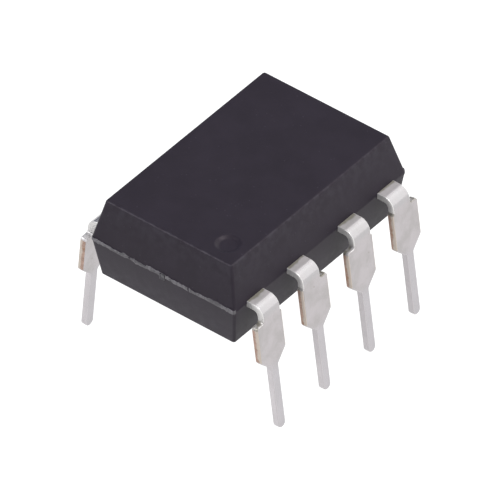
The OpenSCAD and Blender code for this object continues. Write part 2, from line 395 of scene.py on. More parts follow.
@dataclass(frozen=True, kw_only=True)
class TinPlate(Finish):
    """Matte tin on the faces of a lead, with drag marks from the forming tool.

    Each zone's edge gives where the zone ends and where it is full, along the sheet from its place.
    """

    root_s: float
    bend_s: float
    bend_end_s: float
    pin_s: float
    name: str = "tin_plate"
    dull: Colour = (0.400, 0.380, 0.378)
    clean: Colour = (0.462, 0.434, 0.442)
    burnished: Colour = (0.435, 0.424, 0.430)
    dipped: Colour = (0.468, 0.452, 0.474)
    smudge: Colour = (0.30, 0.275, 0.25)
    root_olive: Colour = (0.150, 0.140, 0.090)
    dipped_share: float = 0.65
    smudge_share: float = 0.6
    root_olive_share: float = 0.7
    unformed_edge: Point = (0.16, -0.06)
    bend_start_edge: Point = (0.0, 0.12)
    bend_end_edge: Point = (0.20, -0.08)
    root_edge: Point = (0.13, 0.04)
    pin_edge: Point = (-0.4, 0.2)
    edge_wander: float = 0.10
    root_wander: float = 0.30
    roughness: float = 0.20
    relief_depth: float = 0.0018

    def dress(self, recipe: Recipe) -> None:
        """Grains the tin, drags it lengthwise, smudges it, and leaves it dull where it wasn't formed.

        Args:
            recipe: The material's recipe.
        """
        blank = recipe.carried("blank", "Vector")
        lengthwise = recipe.stretched(blank, (0.7, 16.0, 1.0))
        cloud = recipe.grain(blank, per_mm=1.4, detail=3.0, rough=0.55)
        crystal = recipe.grain(blank, per_mm=30.0, detail=3.0, rough=0.6)
        drag = recipe.grain(lengthwise, per_mm=1.0, detail=3.0, rough=0.6)
        scratch = drag.between(0.66, 0.74)
        spots = recipe.specks(blank, per_mm=3.1, reach=0.13)
        spots *= recipe.grain(blank, per_mm=1.7).between(0.52, 0.6)
        along = recipe.component(blank, 0)
        unformed = (along + self.edge_wander * (cloud - 0.5)).beside(self.bend_s, self.unformed_edge)
        bend = along.beside(self.bend_s, self.bend_start_edge)
        bend *= along.beside(self.bend_end_s, self.bend_end_edge)
        root = (along + self.root_wander * (cloud - 0.5)).beside(self.root_s, self.root_edge)
        pin = along.beside(self.pin_s, self.pin_edge)
        tone = recipe.blend(cloud.between(0.3, 0.65), self.dull, self.clean)
        tone = recipe.blend(bend * (0.55 + 0.45 * drag.between(0.4, 0.6)), tone, self.burnished)
        tone = recipe.blend(self.dipped_share * pin, tone, self.dipped)
        tone = recipe.blend(self.smudge_share * spots, tone, self.smudge)
        # Darker olive towards the root by the body.
        tone = recipe.blend(self.root_olive_share * root, tone, self.root_olive)
        rough = self.roughness + 0.08 * (cloud - 0.5) + 0.06 * (crystal - 0.5)
        relief = 0.5 * crystal + 0.3 * drag - 0.2 * scratch
        recipe.surface({
            "Base Color": tone,
            "Metallic": 1.0 - 0.55 * unformed,
            "Roughness": rough - 0.04 * scratch + 0.22 * unformed,
            "Normal": recipe.bump(relief, self.relief_depth),
        })


@dataclass(frozen=True, kw_only=True)
class PlatedShear(Finish):
    """Sheared side of a lead that the plating covers, rougher than its faces."""

    ledge_s: float
    name: str = "plated_shear"
    dark: Colour = (0.455, 0.431, 0.440)
    light: Colour = (0.500, 0.475, 0.485)
    # Painted highlight: the sides of the neck and bend are lighter, as the light falls on them.
    neck_sheen: Colour = (0.56, 0.55, 0.535)
    thinned: Colour = (0.430, 0.408, 0.415)
    # Painted shade: the dark olive on the ledge stands for the body's shadow and dark reflection.
    stain: Colour = (0.150, 0.135, 0.095)
    neck_sheen_share: float = 0.85
    thinned_share: float = 0.8
    ledge_shade_share: float = 0.75
    ledge_shade_middle: float = 0.04
    ledge_shade_half: Point = (0.15, 0.09)
    formed_edge: Point = (0.2, -0.2)
    thinned_edge: Point = (0.075, 0.115)
    edge_wander: float = 0.06
    roughness: float = 0.40
    line_depth: float = 0.004

    def dress(self, recipe: Recipe) -> None:
        """Draws the punch's lines across the sheet, paints a highlight on the sides of the neck and bend,
        and paints shade on the ledge below the body.

        Args:
            recipe: The material's recipe.
        """
        blank = recipe.carried("blank", "Vector")
        crosswise = recipe.stretched(blank, (18.0, 18.0, 2.5))
        lines = recipe.grain(crosswise, per_mm=1.0, detail=3.0, rough=0.6)
        cloud = recipe.grain(blank, per_mm=2.2)
        along = recipe.component(blank, 0) + self.edge_wander * (cloud - 0.5)
        # Patchy mask of the painted shade on the ledge below the body.
        ledge = abs(along - self.ledge_s - self.ledge_shade_middle).between(*self.ledge_shade_half)
        ledge *= recipe.grain(blank, per_mm=4.5).between(0.30, 0.55)
        formed = along.beside(self.ledge_s, self.formed_edge)
        thin = recipe.component(blank, 2).between(*self.thinned_edge) * (1 - formed)
        tone = recipe.blend((0.5 * lines + 0.5 * cloud).between(0.35, 0.6), self.dark, self.light)
        # Painted highlight on the sides of the neck and bend.
        tone = recipe.blend(self.neck_sheen_share * formed, tone, self.neck_sheen)
        tone = recipe.blend(self.thinned_share * thin, tone, self.thinned)
        # The ledge gets its painted shade here.
        recipe.surface({
            "Base Color": recipe.blend(self.ledge_shade_share * ledge, tone, self.stain),
            "Metallic": 0.5,
            "Roughness": self.roughness + 0.12 * (lines - 0.5),
            "Normal": recipe.bump(lines, self.line_depth),
        })


@dataclass(frozen=True)
class BareShear(Finish):
    """Side of a shoulder where the dam bar was cut off after plating, so the copper is bare."""

    name: str = "bare_shear"
    copper: Colour = (0.365, 0.250, 0.200)
    stain: Colour = (0.260, 0.176, 0.145)
    tarnish: Colour = (0.250, 0.135, 0.072)
    smeared_tin: Colour = (0.44, 0.385, 0.335)
    tarnish_share: float = 0.7
    smear_edge: Point = (-0.02, 0.04)
    smear_wander: float = 0.22
    roughness: float = 0.50
    line_depth: float = 0.006

    def dress(self, recipe: Recipe) -> None:
        """Smears tin over the edge that the punch met first and leaves copper below it.

        Args:
            recipe: The material's recipe.
        """
        blank = recipe.carried("blank", "Vector")
        crosswise = recipe.stretched(blank, (16.0, 16.0, 2.0))
        edgewise = recipe.stretched(blank, (3.2, 3.2, 0.0))
        lines = recipe.grain(crosswise, per_mm=1.0, detail=3.0, rough=0.6)
        wander = recipe.grain(edgewise, per_mm=1.0, detail=3.0, rough=0.6)
        patches = recipe.grain(blank, per_mm=3.4, detail=3.0, rough=0.6).between(0.53, 0.63)
        depth = recipe.component(blank, 2) + self.smear_wander * (wander - 0.5)
        smear = depth.between(*self.smear_edge)
        tone = recipe.blend(lines.between(0.4, 0.7), self.copper, self.stain)
        tone = recipe.blend(self.tarnish_share * patches, tone, self.tarnish)
        recipe.surface({
            "Base Color": recipe.blend(smear, tone, self.smeared_tin),
            "Metallic": 0.6,
            "Roughness": self.roughness + 0.15 * (lines - 0.5) - 0.08 * smear,
            "Normal": recipe.bump(lines, self.line_depth),
        })


@dataclass(frozen=True, kw_only=True)
class PaddleCopper(Finish):
    """Copper alloy sheet, sheared dull where the tie bars come out of the moulding."""

    bar_z: float
    bar_end: float
    bar_half_w: float
    name: str = "paddle_copper"
    copper: Colour = (0.66, 0.38, 0.27)
    oxide: Colour = (0.48, 0.26, 0.19)
    sheared: Colour = (0.085, 0.082, 0.088)
    resin: Colour = (0.018, 0.015, 0.021)
    broken: Colour = (0.075, 0.070, 0.077)
    cut_l: float = 0.25
    cut_edge: Point = (0.0, 0.05)
    bared_up: Point = (-0.02, 0.005)
    bared_across: Point = (-0.05, -0.03)
    flank_edge: Point = (-0.02, -0.005)
    edge_wander: float = 0.06
    roughness: float = 0.38
    relief_depth: float = 0.008

    def dress(self, recipe: Recipe) -> None:
        """Rolls the sheet lengthwise, and dulls the cut ends.

        Args:
            recipe: The material's recipe.
        """
        place = recipe.place()
        lengthwise = recipe.stretched(place, (20.0, 1.2, 20.0))
        rolled = recipe.grain(lengthwise, per_mm=1.0, detail=3.0, rough=0.6)
        rubbed = recipe.grain(place, per_mm=18.0, detail=3.0)
        cut = abs(recipe.component(place, 1)).beside(self.bar_end - self.cut_l, self.cut_edge)
        height = recipe.component(place, 2) + self.edge_wander * (rubbed - 0.5)
        side = recipe.component(place, 0) + self.edge_wander * (rubbed - 0.5)
        bared = height.beside(self.bar_z, self.bared_up) * side.between(*self.bared_across)
        smear = cut * (1 - bared)
        across = abs(recipe.component(place, 0))
        flank = cut * across.beside(self.bar_half_w, self.flank_edge)
        tone = recipe.blend(rolled.between(0.35, 0.65), self.copper, self.oxide)
        tone = recipe.blend(cut, tone, self.sheared)
        tone = recipe.blend(smear, tone, self.resin)
        recipe.surface({
            "Base Color": recipe.blend(flank, tone, self.broken),
            "Metallic": 0.9 - 0.4 * cut - 0.5 * smear,
            "Roughness": self.roughness + 0.14 * (rolled - 0.5) + 0.22 * cut,
            "Normal": recipe.bump(0.4 * rolled + 0.6 * rubbed * cut, self.relief_depth),
        })


@dataclass(frozen=True)
class SilverGlue(Finish):
    """Silver-filled epoxy, lumpy with its flakes."""

    name: str = "silver_glue"
    paste: Colour = (0.42, 0.41, 0.39)
    flake: Colour = (0.78, 0.77, 0.74)
    lump_depth: float = 0.010

    def dress(self, recipe: Recipe) -> None:
        """Scatters flakes through the paste.

        Args:
            recipe: The material's recipe.
        """
        place = recipe.place()
        flakes = recipe.specks(place, per_mm=26.0, reach=0.5)
        lumps = recipe.grain(place, per_mm=12.0, detail=3.0)
        recipe.surface({
            "Base Color": recipe.blend(flakes, self.paste, self.flake),
            "Metallic": 0.35 + 0.5 * flakes,
            "Roughness": 0.62 - 0.22 * flakes,
            "Normal": recipe.bump(0.7 * lumps + 0.3 * flakes, self.lump_depth),
        })


@dataclass(frozen=True)
class DieSilicon(Finish):
    """Silicon with plain blocks of circuit under its glass."""

    name: str = "die_silicon"
    field: Colour = (0.055, 0.075, 0.11)
    block: Colour = (0.13, 0.12, 0.10)
    street: Colour = (0.20, 0.22, 0.20)
    street_depth: float = 0.0015

    def dress(self, recipe: Recipe) -> None:
        """Lays blocks and the streets between them over the die.

        Args:
            recipe: The material's recipe.
        """
        place = recipe.place()
        node = recipe.node("ShaderNodeTexVoronoi", {"distance": "CHEBYCHEV"}, {
            "Vector": place, "Scale": 4.5, "Randomness": 0.55,
        })
        blocks = Value(recipe, node.outputs["Distance"])
        fine = recipe.grain(recipe.stretched(place, (40.0, 9.0, 9.0)), per_mm=1.0)
        tone = recipe.blend(fine.between(0.42, 0.58), self.field, self.block)
        streets = blocks.between(0.42, 0.5)
        recipe.surface({
            "Base Color": recipe.blend(streets, tone, self.street),
            "Metallic": 0.35,
            "Roughness": 0.20 + 0.20 * streets,
            "Coat Weight": 0.5,
            "Coat Roughness": 0.05,
            "Normal": recipe.bump(streets, self.street_depth),
        })


@dataclass(frozen=True)
class GoldWire(Finish):
    """Fine gold wire, softly drawn along its length."""

    name: str = "gold_wire"
    gold: Colour = (0.95, 0.70, 0.30)
    shade: Colour = (0.80, 0.54, 0.20)
    draw_depth: float = 0.0015

    def dress(self, recipe: Recipe) -> None:
        """Varies the drawn skin of the wire.

        Args:
            recipe: The material's recipe.
        """
        place = recipe.place()
        drawn = recipe.grain(place, per_mm=22.0, detail=3.0, rough=0.6)
        recipe.surface({
            "Base Color": recipe.blend(drawn.between(0.35, 0.65), self.gold, self.shade),
            "Metallic": 1.0,
            "Roughness": 0.24 + 0.14 * (drawn - 0.5),
            "Normal": recipe.bump(drawn, self.draw_depth),
        })


def make_piece(
    name: str,
    form: bmesh.types.BMesh,
    finishes: Sequence[Finish],
    node: str,
    sharp_angle: float,
) -> bpy.types.Object:
    """Writes a form as a piece of the part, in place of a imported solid.

    Args:
        name: The piece's name.
        form: Its form in millimetres, which is used up.
        finishes: Its finishes, in the order of its faces' material numbers.
        node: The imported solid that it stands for.
        sharp_angle: Edges that turn by more than this many degrees stay sharp.

    Returns:
        The new piece.
    """
    bmesh.ops.recalc_face_normals(form, faces=form.faces[:])
    bmesh.ops.scale(form, vec=(MM, MM, MM), verts=form.verts[:])
    mesh = bpy.data.meshes.new(name)
    form.to_mesh(mesh)
    form.free()
    mesh.shade_smooth()
    mesh.set_sharp_from_angle(angle=math.radians(sharp_angle))
    for finish in finishes:
        mesh.materials.append(finish.material())
    piece = bpy.data.objects.new(name, mesh)
    bpy.context.scene.collection.objects.link(piece)
    shading = piece.modifiers.new("even_shading", "WEIGHTED_NORMAL")
    shading.keep_sharp = True
    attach(piece, ROOT_BODY)
    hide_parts(node)
    return piece


def drafted(size: float, draft: float, height: float) -> float:
    """Gives the half size of a drafted wall at a height over the one where it is largest.

    Args:
        size: The largest half size.
        draft: The wall's draft in degrees.
        height: The height, up or down.

    Returns:
        The half size there.
    """
    return size - height * math.tan(math.radians(draft))


def unit(v: Point) -> Point:
    """Scales a flat vector to length 1."""
    length = math.hypot(*v)
    return v[0] / length, v[1] / length


def rounded(corners: Sequence[Corner], step: float = 9.0) -> list[Point]:
    """Rounds the corners of a closed outline.

    Args:
        corners: Each corner's two coordinates and its radius, which is 0 for a sharp one.
        step: The largest turn between two points of an arc, in degrees.

    Returns:
        The outline's points.
    """
    points: list[Point] = []
    count = len(corners)
    for i, (x, y, radius) in enumerate(corners):
        if radius == 0:
            points.append((x, y))
            continue
        before = corners[i - 1]
        after = corners[(i + 1) % count]
        u = unit((before[0] - x, before[1] - y))
        w = unit((after[0] - x, after[1] - y))
        half = math.acos(max(-1.0, min(1.0, u[0] * w[0] + u[1] * w[1]))) / 2
        middle = unit((u[0] + w[0], u[1] + w[1]))
        centre = (x + middle[0] * radius / math.sin(half), y + middle[1] * radius / math.sin(half))
        reach = radius / math.tan(half)
        start = (x + u[0] * reach - centre[0], y + u[1] * reach - centre[1])
        turn = math.pi - 2 * half
        way = -1 if u[0] * w[1] - u[1] * w[0] > 0 else 1
        steps = max(2, math.ceil(math.degrees(turn) / step))
        for k in range(steps + 1):
            a = way * turn * k / steps
            points.append((
                centre[0] + start[0] * math.cos(a) - start[1] * math.sin(a),
                centre[1] + start[0] * math.sin(a) + start[1] * math.cos(a),
            ))
    return points


def inset(points: Sequence[Point], distance: float) -> list[Point]:
    """Moves a closed anticlockwise outline inwards.

    Args:
        points: The outline's points.
        distance: How far inwards.

    Returns:
        As many points, each moved along the mean of its two sides' normals.
    """
    moved: list[Point] = []
    for i, (x, y) in enumerate(points):
        ax, ay = unit((x - points[i - 1][0], y - points[i - 1][1]))
        after = points[(i + 1) % len(points)]
        bx, by = unit((after[0] - x, after[1] - y))
        share = distance / (1 + ax * bx + ay * by)
        moved.append((x - (ay + by) * share, y + (ax + bx) * share))
    return moved


def add_ring(form: bmesh.types.BMesh, points: Sequence[Place]) -> Ring:
    """Adds a closed ring of vertices.

    Args:
        form: The form that they go into.
        points: Their places.

    Returns:
        The vertices, in order.
    """
    return [form.verts.new(p) for p in points]


def join_rings(form: bmesh.types.BMesh, first: Ring, second: Ring, kinds: Sequence[int] = ()) -> None:
    """Joins two rings of as many vertices by a band of faces.

    Args:
        form: The form that the faces go into.
        first: One ring.
        second: The other ring.
        kinds: The material number of each face of the band, or nothing where all have the first.
    """
    count = len(first)
    for i in range(count):
        j = (i + 1) % count
        face = form.faces.new((first[i], first[j], second[j], second[i]))
        if kinds:
            face.material_index = kinds[i]


def fill_rings(form: bmesh.types.BMesh, rings: Sequence[Ring]) -> None:
    """Fills the flat face that an outer ring and the rings of its holes bound.

    Args:
        form: The form that the face goes into.
        rings: The rings, which lie in one plane.
    """
    edges = []
    for ring in rings:
        for i, vert in enumerate(ring):
            edge = form.edges.get((vert, ring[i - 1])) or form.edges.new((vert, ring[i - 1]))
            edges.append(edge)
    bmesh.ops.triangle_fill(form, use_beauty=True, use_dissolve=False, edges=edges, normal=(0, 0, 1))


@dataclass(frozen=True)
class PinMark:
    """Shallow round mark that a pin of the mould leaves, with a soft slope round its floor."""

    x: float
    y: float
    radius: float
    depth: float
    slope_width: float
    level_width: float = 0.03
    slope_steps: int = 12
    points: int = 72

    def add(self, form: bmesh.types.BMesh, face_z: float, inward: float) -> Ring:
        """Adds the mark below a face.

        Args:
            form: The form of the body.
            face_z: Height of the face.
            inward: -1 where the mark goes down from the face, or 1 where it goes up.

        Returns:
            The ring in the face that bounds the mark.
        """
        rings = []
        for k in range(-1, self.slope_steps + 1):
            t = max(k, 0) / self.slope_steps
            r = self.radius - self.slope_width * t + (self.level_width if k < 0 else 0.0)
            z = face_z + inward * self.depth * t * t * (3 - 2 * t)
            rings.append(add_ring(form, [
                (self.x + r * math.cos(a), self.y + r * math.sin(a), z)
                for a in (math.tau * i / self.points for i in range(self.points))
            ]))
        for outer, inner in zip(rings, rings[1:]):
            join_rings(form, outer, inner)
        fill_rings(form, [rings[-1]])
        return rings[0]


class MouldHalf(IntEnum):
    """The two halves of the mould, with the way from the parting line to their faces."""

    LOWER = -1
    UPPER = 1


class BodyFace(IntEnum):
    """Faces of the moulding, numbered as its finishes are."""

    SKIN = 0
    FLASH = 1


@dataclass(frozen=True)
class Wall:
    """One ring round the moulding: its height, half sizes, corners, share of flash, and a mask for its
    rim's wear and painted highlight.
    """

    z: float
    half_x: float
    half_y: float
    corner_r: float
    flash: float = 0.0
    wear_and_sheen: float = 0.0


@dataclass(frozen=True)
class Spot:
    """Where a vertex stands on each ring: its shares of the straight sides, and the way out."""

    across: float
    along: float
    out_x: float
    out_y: float


@dataclass(frozen=True)
class Ripple:
    """A wander along the body's ends that is the same each time.

    The end step keeps the two ends apart, and start and shift pick the stretch of noise.
    """

    swing: float
    per_mm: float
    end_step: float
    start: float
    shift: float = 0.0

    def place(self, x: float, side: float, lift: float) -> Vector:
        """Gives where in the noise a place along an end lies."""
        return Vector((self.per_mm * x + self.shift, self.end_step * side, self.start + lift))

    def smooth(self, x: float, side: float, lift: float = 0.0) -> float:
        """Wanders smoothly to both sides of 0.

        Args:
            x: The place across the body.
            side: 1 at the +Y end and -1 at the -Y end.
            lift: A further step through the noise.

        Returns:
            The wander, up to the swing.
        """
        return self.swing * noise.noise(self.place(x, side, lift))

    def stepped(self, x: float, side: float) -> float:
        """Wanders in jumps, by up to half the swing to both sides of 0.

        Args:
            x: The place across the body.
            side: 1 at the +Y end and -1 at the -Y end.

        Returns:
            The wander.
        """
        return self.swing * (noise.cell(self.place(x, side, 0.0)) - 0.5)


@dataclass(frozen=True)
class PartingFlash:
    """Thin ragged flash where the mould's halves meet, at the ends of the moulding.

    Each point of the section is a height, as a share of half_h, and the share of the reach there.
    Between rings whose shares add up to more than band_from, a face whose normal turns by more than
    end_from towards the end counts as flash, unless it stands out by less than skin_below.
    """

    full_reach: float = 0.05
    half_h: float = 0.090
    mean_reach: float = 0.026
    least_reach: float = 0.012
    nicks: tuple[float, ...] = (-1.57, 1.19)
    nick_half: float = 0.026
    nick_reach: float = 0.006
    tie_bar_clear: float = 0.12
    corner_from: float = 0.88
    corner_gain: float = 0.02
    band_from: float = 0.9
    end_from: float = 0.3
    skin_below: float = 0.009
    section: tuple[Point, ...] = ((0.2, 1.0), (0.7, 1.0), (0.92, 0.7), (1.0, 0.01), (2.6, 0.0))
    slow: Ripple = Ripple(swing=0.022, per_mm=2.6, end_step=7.3, start=0.4)
    fast: Ripple = Ripple(swing=0.016, per_mm=11.0, end_step=3.1, start=5.2)
    thickness: Ripple = Ripple(swing=0.45, per_mm=6.0, end_step=4.0, start=1.7)
    drift: Ripple = Ripple(swing=0.035, per_mm=1.8, end_step=2.0, start=7.7, shift=9.3)
    crumbs: Ripple = Ripple(swing=0.010, per_mm=17.0, end_step=4.0, start=0.0)
    crumbs_per_mm_up: float = 40.0

    def reach(self, x: float, side: float, half_w: float) -> float:
        """Gives how far the flash stands out at a place along an end.

        Args:
            x: The place across the body.
            side: 1 at the +Y end and -1 at the -Y end.
            half_w: Half of the body's width.

        Returns:
            The reach, up to the full one of the mould.
        """
        wander = self.slow.smooth(x, side) + self.fast.smooth(x, side)
        reach = max(self.mean_reach + wander, self.least_reach)
        if any(abs(x - nick) < self.nick_half for nick in self.nicks):
            reach = self.nick_reach
        if abs(x) < self.tie_bar_clear:
            reach = min(reach, self.least_reach)
        if abs(x) > self.corner_from * half_w:
            reach += self.corner_gain
        return max(0.0, min(reach, self.full_reach))

    def stray(self, x: float, side: float, z: float, rise: float) -> float:
        """Gives how far up or down the flash strays from a level band.

        Args:
            x: The place across the body.
            side: 1 at the +Y end and -1 at the -Y end.
            z: The height.
            rise: The height over the parting line.

        Returns:
            The way up.
        """
        crumb = self.crumbs.smooth(x, side, self.crumbs_per_mm_up * z)
        return rise * self.thickness.smooth(x, side) + self.drift.stepped(x, side) + crumb


@dataclass
class MouldedBody:
    """The epoxy moulding: two drafted halves, ragged flash along its ends and round pin marks."""

    upper_side_draft: float = 13.4
    upper_end_draft: float = 12.3
    lower_side_draft: float = 8.0
    lower_end_draft: float = 7.6
    corner_r: float = 0.10
    least_corner_r: float = 0.03
    rim_r: float = 0.09
    foot_r: float = 0.04
    mark_d: float = 1.00
    mark_depth: float = 0.08
    mark_inset: float = 0.86
    mark_slope: float = 0.20
    ejector_d: float = 1.20
    ejector_depth: float = 0.05
    ejector_inset: float = 1.50
    ejector_slope: float = 0.03
    end_steps: int = 176
    side_steps: int = 40
    corner_steps: int = 8
    rim_steps: int = 6
    sharp_angle: float = 38.0
    flash: PartingFlash = PartingFlash()

    def __post_init__(self) -> None:
        """Reads the body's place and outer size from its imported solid."""
        low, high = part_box("body")
        self.half_w = high.x / MM
        self.half_l = high.y / MM - self.flash.full_reach
        self.top_z = high.z / MM
        self.under_z = low.z / MM
        self.parting_z = (self.top_z + self.under_z) / 2
        self.end_slope = math.tan(math.radians((self.upper_end_draft + self.lower_end_draft) / 2))

    def spots(self) -> list[Spot]:
        """Lays out a ring once, for every height.

        Returns:
            The spot of each vertex, in order round the body.
        """
        made: list[Spot] = []
        for quarter in range(4):
            steps = self.side_steps if quarter % 2 == 0 else self.end_steps
            out_x = round(math.cos(quarter * math.pi / 2))
            out_y = round(math.sin(quarter * math.pi / 2))
            for k in range(steps):
                t = 2 * k / steps - 1
                made.append(Spot(out_x - t * out_y, out_y + t * out_x, out_x, out_y))
            for k in range(self.corner_steps):
                a = (quarter + k / self.corner_steps) * math.pi / 2
                made.append(Spot(out_x - out_y, out_y + out_x, math.cos(a), math.sin(a)))
        return made

    def flash_walls(self, half: MouldHalf, side_draft: float, end_draft: float) -> list[Wall]:
        """Lays out the rings of one half that carry the flash, from the parting line outwards.

        Args:
            half: The half of the mould.
            side_draft: The draft of its sides, in degrees.
            end_draft: The draft of its ends, in degrees.

        Returns:
            The rings.
        """
        walls = []
        for height, share in self.flash.section:
            rise = height * self.flash.half_h
            walls.append(Wall(
                self.parting_z + half * rise,
                drafted(self.half_w, side_draft, rise), drafted(self.half_l, end_draft, rise),
                self.corner_r, share,
            ))
        return walls

    def rim_walls(
        self, half: MouldHalf, face_z: float, side_draft: float, end_draft: float, rim_r: float
    ) -> list[Wall]:
        """Lays out the rings of one half's rounded rim, and a level one inside it on the face.

        Args:
            half: The half of the mould.
            face_z: Height of the face that the rim bounds.
            side_draft: The draft of the half's sides, in degrees.
            end_draft: The draft of its ends, in degrees.
            rim_r: The rim's radius.

        Returns:
            The rings, towards the face.
        """
        height = abs(face_z - self.parting_z)
        half_w = drafted(self.half_w, side_draft, height)
        half_l = drafted(self.half_l, end_draft, height)
        side = math.radians(side_draft)
        end = math.radians(end_draft)
        mean = math.radians((side_draft + end_draft) / 2)
        walls = []
        # Each rim ring carries a mask for its wear and the painted highlight along it.
        for k in range(self.rim_steps + 1):
            a = mean + (math.pi / 2 - mean) * k / self.rim_steps
            rise = rim_r * (1 - math.sin(a))
            half_x = half_w - rim_r * (1 - math.sin(side)) / math.cos(side) + rim_r * math.cos(a)
            half_y = half_l - rim_r * (1 - math.sin(end)) / math.cos(end) + rim_r * math.cos(a)
            sunk = half_w + rise * math.tan(side) - half_x
            walls.append(Wall(
                face_z - half * rise, half_x, half_y, max(self.corner_r - sunk, self.least_corner_r),
                wear_and_sheen=math.sin(math.pi * ((k + 1) / (self.rim_steps + 1))),
            ))
        last = walls[-1]
        walls.append(Wall(last.z, last.half_x - rim_r, last.half_y - rim_r, last.corner_r))
        return walls

    def walls(self) -> list[Wall]:
        """Lays out all the rings.

        Returns:
            The rings, from the underside to the top.
        """
        lower = self.flash_walls(MouldHalf.LOWER, self.lower_side_draft, self.lower_end_draft)
        lower += self.rim_walls(
            MouldHalf.LOWER, self.under_z, self.lower_side_draft, self.lower_end_draft, self.foot_r
        )
        upper = self.flash_walls(MouldHalf.UPPER, self.upper_side_draft, self.upper_end_draft)
        upper += self.rim_walls(
            MouldHalf.UPPER, self.top_z, self.upper_side_draft, self.upper_end_draft, self.rim_r
        )
        return lower[::-1] + upper

    def ring_points(self, wall: Wall) -> list[Place]:
        """Places one ring's vertices.

        Args:
            wall: The ring.

        Returns:
            The vertices' places.
        """
        rise = wall.z - self.parting_z
        points = []
        for spot in self.spots():
            x = spot.across * (wall.half_x - wall.corner_r) + wall.corner_r * spot.out_x
            y = spot.along * (wall.half_y - wall.corner_r) + wall.corner_r * spot.out_y
            if wall.flash == 0:
                points.append((x, y, wall.z))
                continue
            side = math.copysign(1.0, y)
            reach = self.flash.reach(x, side, self.half_w) * wall.flash * spot.out_y * spot.out_y
            stray = self.flash.stray(x, side, wall.z, rise) * abs(spot.out_y)
            y -= side * self.end_slope * math.copysign(stray, stray * rise)
            points.append((x, y + side * reach, wall.z + stray))
        return points

    def face_at(self, spot: Spot, half_x: float) -> BodyFace:
        """Tells the flash from the plain skin beside it.

        Args:
            spot: The spot that the face starts at.
            half_x: Half of the ring's width.

        Returns:
            The kind of face.
        """
        if abs(spot.out_y) <= self.flash.end_from:
            return BodyFace.SKIN
        reach = self.flash.reach(spot.across * half_x, spot.along, self.half_w)
        return BodyFace.FLASH if reach > self.flash.skin_below else BodyFace.SKIN

    def add_walls(self, form: bmesh.types.BMesh) -> tuple[Ring, Ring]:
        """Adds the sides and ends of the moulding with their flash.

        Args:
            form: The form of the body, with its masks and nothing else.

        Returns:
            The lowest ring and the highest one.
        """
        edge = form.verts.layers.float["edge"]
        walls = self.walls()
        spots = self.spots()
        rings = [add_ring(form, self.ring_points(wall)) for wall in walls]
        for ring, wall in zip(rings, walls):
            for vert in ring:
                vert[edge] = wall.wear_and_sheen
        for lower, upper, wall, above in zip(rings, rings[1:], walls, walls[1:]):
            flashed = wall.flash + above.flash > self.flash.band_from
            kinds = [self.face_at(spot, wall.half_x) for spot in spots] if flashed else []
            join_rings(form, lower, upper, kinds)
        return rings[0], rings[-1]

    def corner_mark(self) -> PinMark:
        """Sizes the round mark in the top face, in the corner where lead 1 is.

        Returns:
            The mark.
        """
        height = self.top_z - self.parting_z
        return PinMark(
            x=drafted(self.half_w, self.upper_side_draft, height) - self.mark_inset,
            y=self.mark_inset - drafted(self.half_l, self.upper_end_draft, height),
            radius=self.mark_d / 2, depth=self.mark_depth, slope_width=self.mark_slope,
        )

    def ejector_marks(self) -> list[PinMark]:
        """Sizes the two marks of the ejector pins in the underside.

        Returns:
            The marks, that of the -Y end first.
        """
        half_l = drafted(self.half_l, self.lower_end_draft, self.parting_z - self.under_z)
        return [
            PinMark(
                x=0.0, y=side * (half_l - self.ejector_inset),
                radius=self.ejector_d / 2, depth=self.ejector_depth, slope_width=self.ejector_slope,
            )
            for side in (-1, 1)
        ]

    def build(self) -> bpy.types.Object:
        """Builds the moulding.

        Returns:
            The body's piece.
        """
        form = bmesh.new()
        for mask in ("edge", "polish"):
            form.verts.layers.float.new(mask)
        lowest, highest = self.add_walls(form)
        polish = form.verts.layers.float["polish"]
        mark = self.corner_mark()
        plain = len(form.verts)
        outer = mark.add(form, self.top_z, inward=-1)
        # The mark's first ring lies level round it, outside the polish.
        for vert in list(form.verts)[plain + mark.points:]:
            vert[polish] = 1.0
        fill_rings(form, [highest, outer])
        ejected = [e.add(form, self.under_z, inward=1) for e in self.ejector_marks()]
        fill_rings(form, [lowest, *ejected])
        finishes = (MouldedEpoxy(), BrokenFlash())
        return make_piece("moulded_body", form, finishes, "body", self.sharp_angle)


class LeadFace(IntEnum):
    """Faces of a lead, numbered as its finishes are."""

    PLATED = 0
    PLATED_SHEAR = 1
    BARE_SHEAR = 2


class LeadKind(Enum):
    """The two blanks that the lead frame has."""

    END = "end"
    INNER = "inner"


